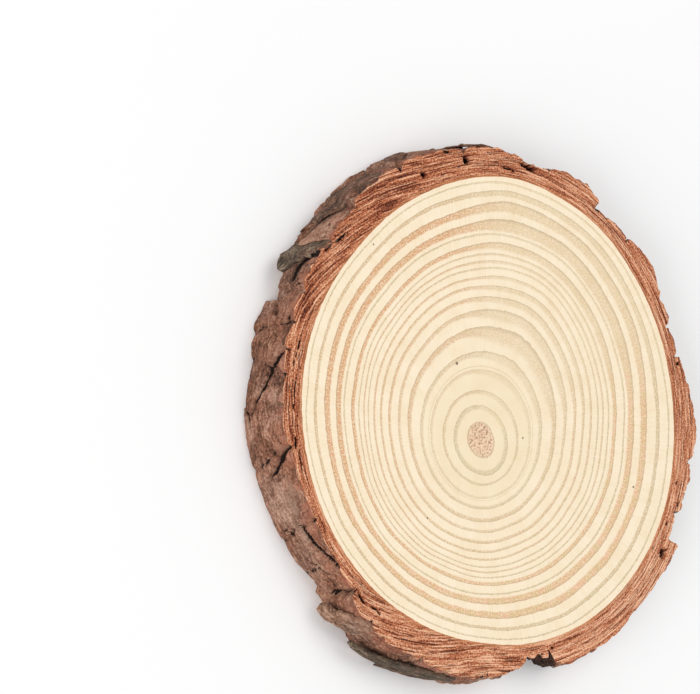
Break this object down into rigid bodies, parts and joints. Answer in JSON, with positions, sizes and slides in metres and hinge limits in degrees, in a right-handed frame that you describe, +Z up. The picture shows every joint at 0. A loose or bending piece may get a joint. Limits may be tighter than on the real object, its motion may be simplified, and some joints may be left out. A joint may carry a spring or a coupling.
{
  "type": "wood slice",
  "caption": "Round slice sawn across a pine stem, with pale off-centre growth rings on both flat faces and scaly bark left on the rim; lies flat as a coaster, stand or craft blank.",
  "frame": {"origin": "the pith, on the back face that the slice rests on", "axes": "+Z up through the slice, along the stem; the rings are widest towards +X and +Y"},
  "size_m": [0.1449, 0.1457, 0.013],
  "materials": {
    "pine": "sawn and sanded pale pine faces with tan growth rings, inside a rim of rough red-brown bark"
  },
  "bodies": {
    "root": {"wood_slice": "pine"}
  },
  "joints": []
}
